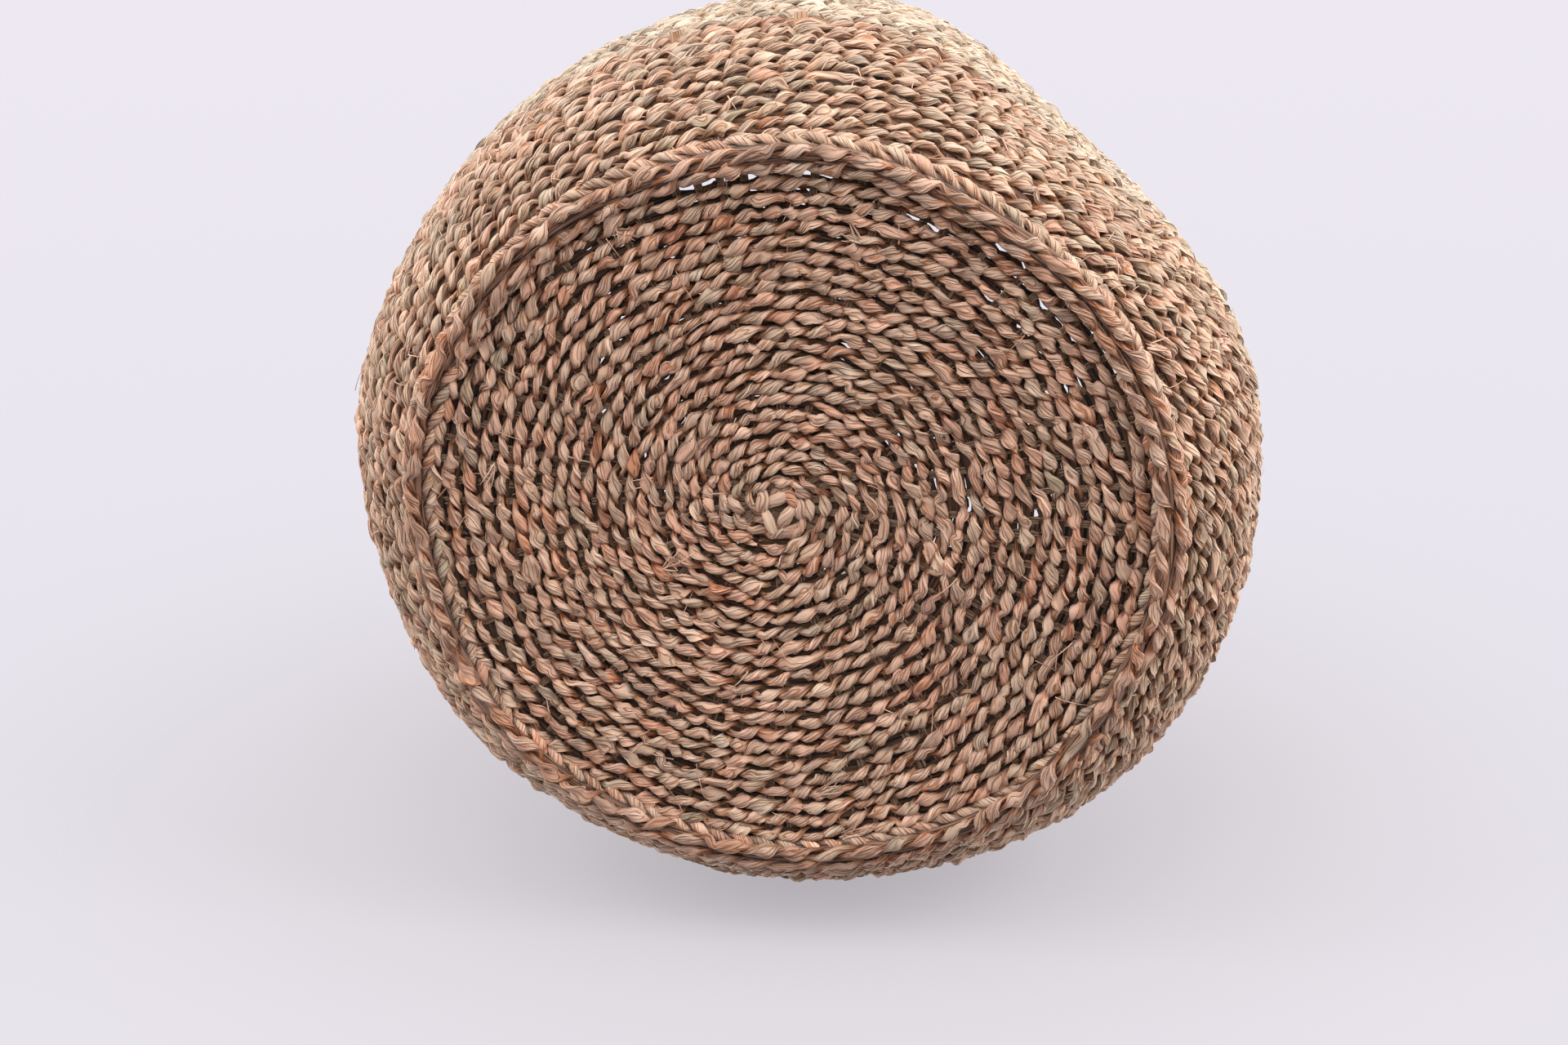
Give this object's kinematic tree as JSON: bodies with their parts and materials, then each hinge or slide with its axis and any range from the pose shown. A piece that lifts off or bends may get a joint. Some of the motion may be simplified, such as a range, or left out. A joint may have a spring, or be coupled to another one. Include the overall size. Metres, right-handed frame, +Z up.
{
  "type": "woven basket",
  "caption": "Round belly basket of twined seagrass with a flat base, a braided foot ridge, a wide belly, a pale upper wall and an open mouth.",
  "frame": {"origin": "centre of the foot ridge's underside, where the basket stands", "axes": "+Z up along the basket's axis, towards the mouth"},
  "size_m": [0.414, 0.414, 0.2898],
  "materials": {
    "natural_weft": "dry twined seagrass",
    "natural_ridge": "dry braided seagrass",
    "cream_weft": "bleached twined seagrass",
    "sticks": "dry seagrass bundles"
  },
  "bodies": {
    "root": {"start_sticks_lengthwise": "sticks", "start_sticks_crosswise": "sticks", "first_added_sticks": "sticks", "second_added_sticks": "sticks", "start_weft": "natural_weft", "base_weft_inner": "natural_weft", "base_weft_middle": "natural_weft", "base_weft_outer": "natural_weft", "foot_waling": "natural_ridge", "side_stakes": "sticks", "side_weft_lower": "natural_weft", "side_weft_middle": "natural_weft", "side_weft_upper": "natural_weft", "cream_weft_belly": "cream_weft", "cream_weft_lower_shoulder": "cream_weft", "cream_weft_upper_shoulder": "cream_weft", "cream_weft_neck": "cream_weft", "rim_waling": "cream_weft", "rim_border": "cream_weft"}
  },
  "joints": []
}
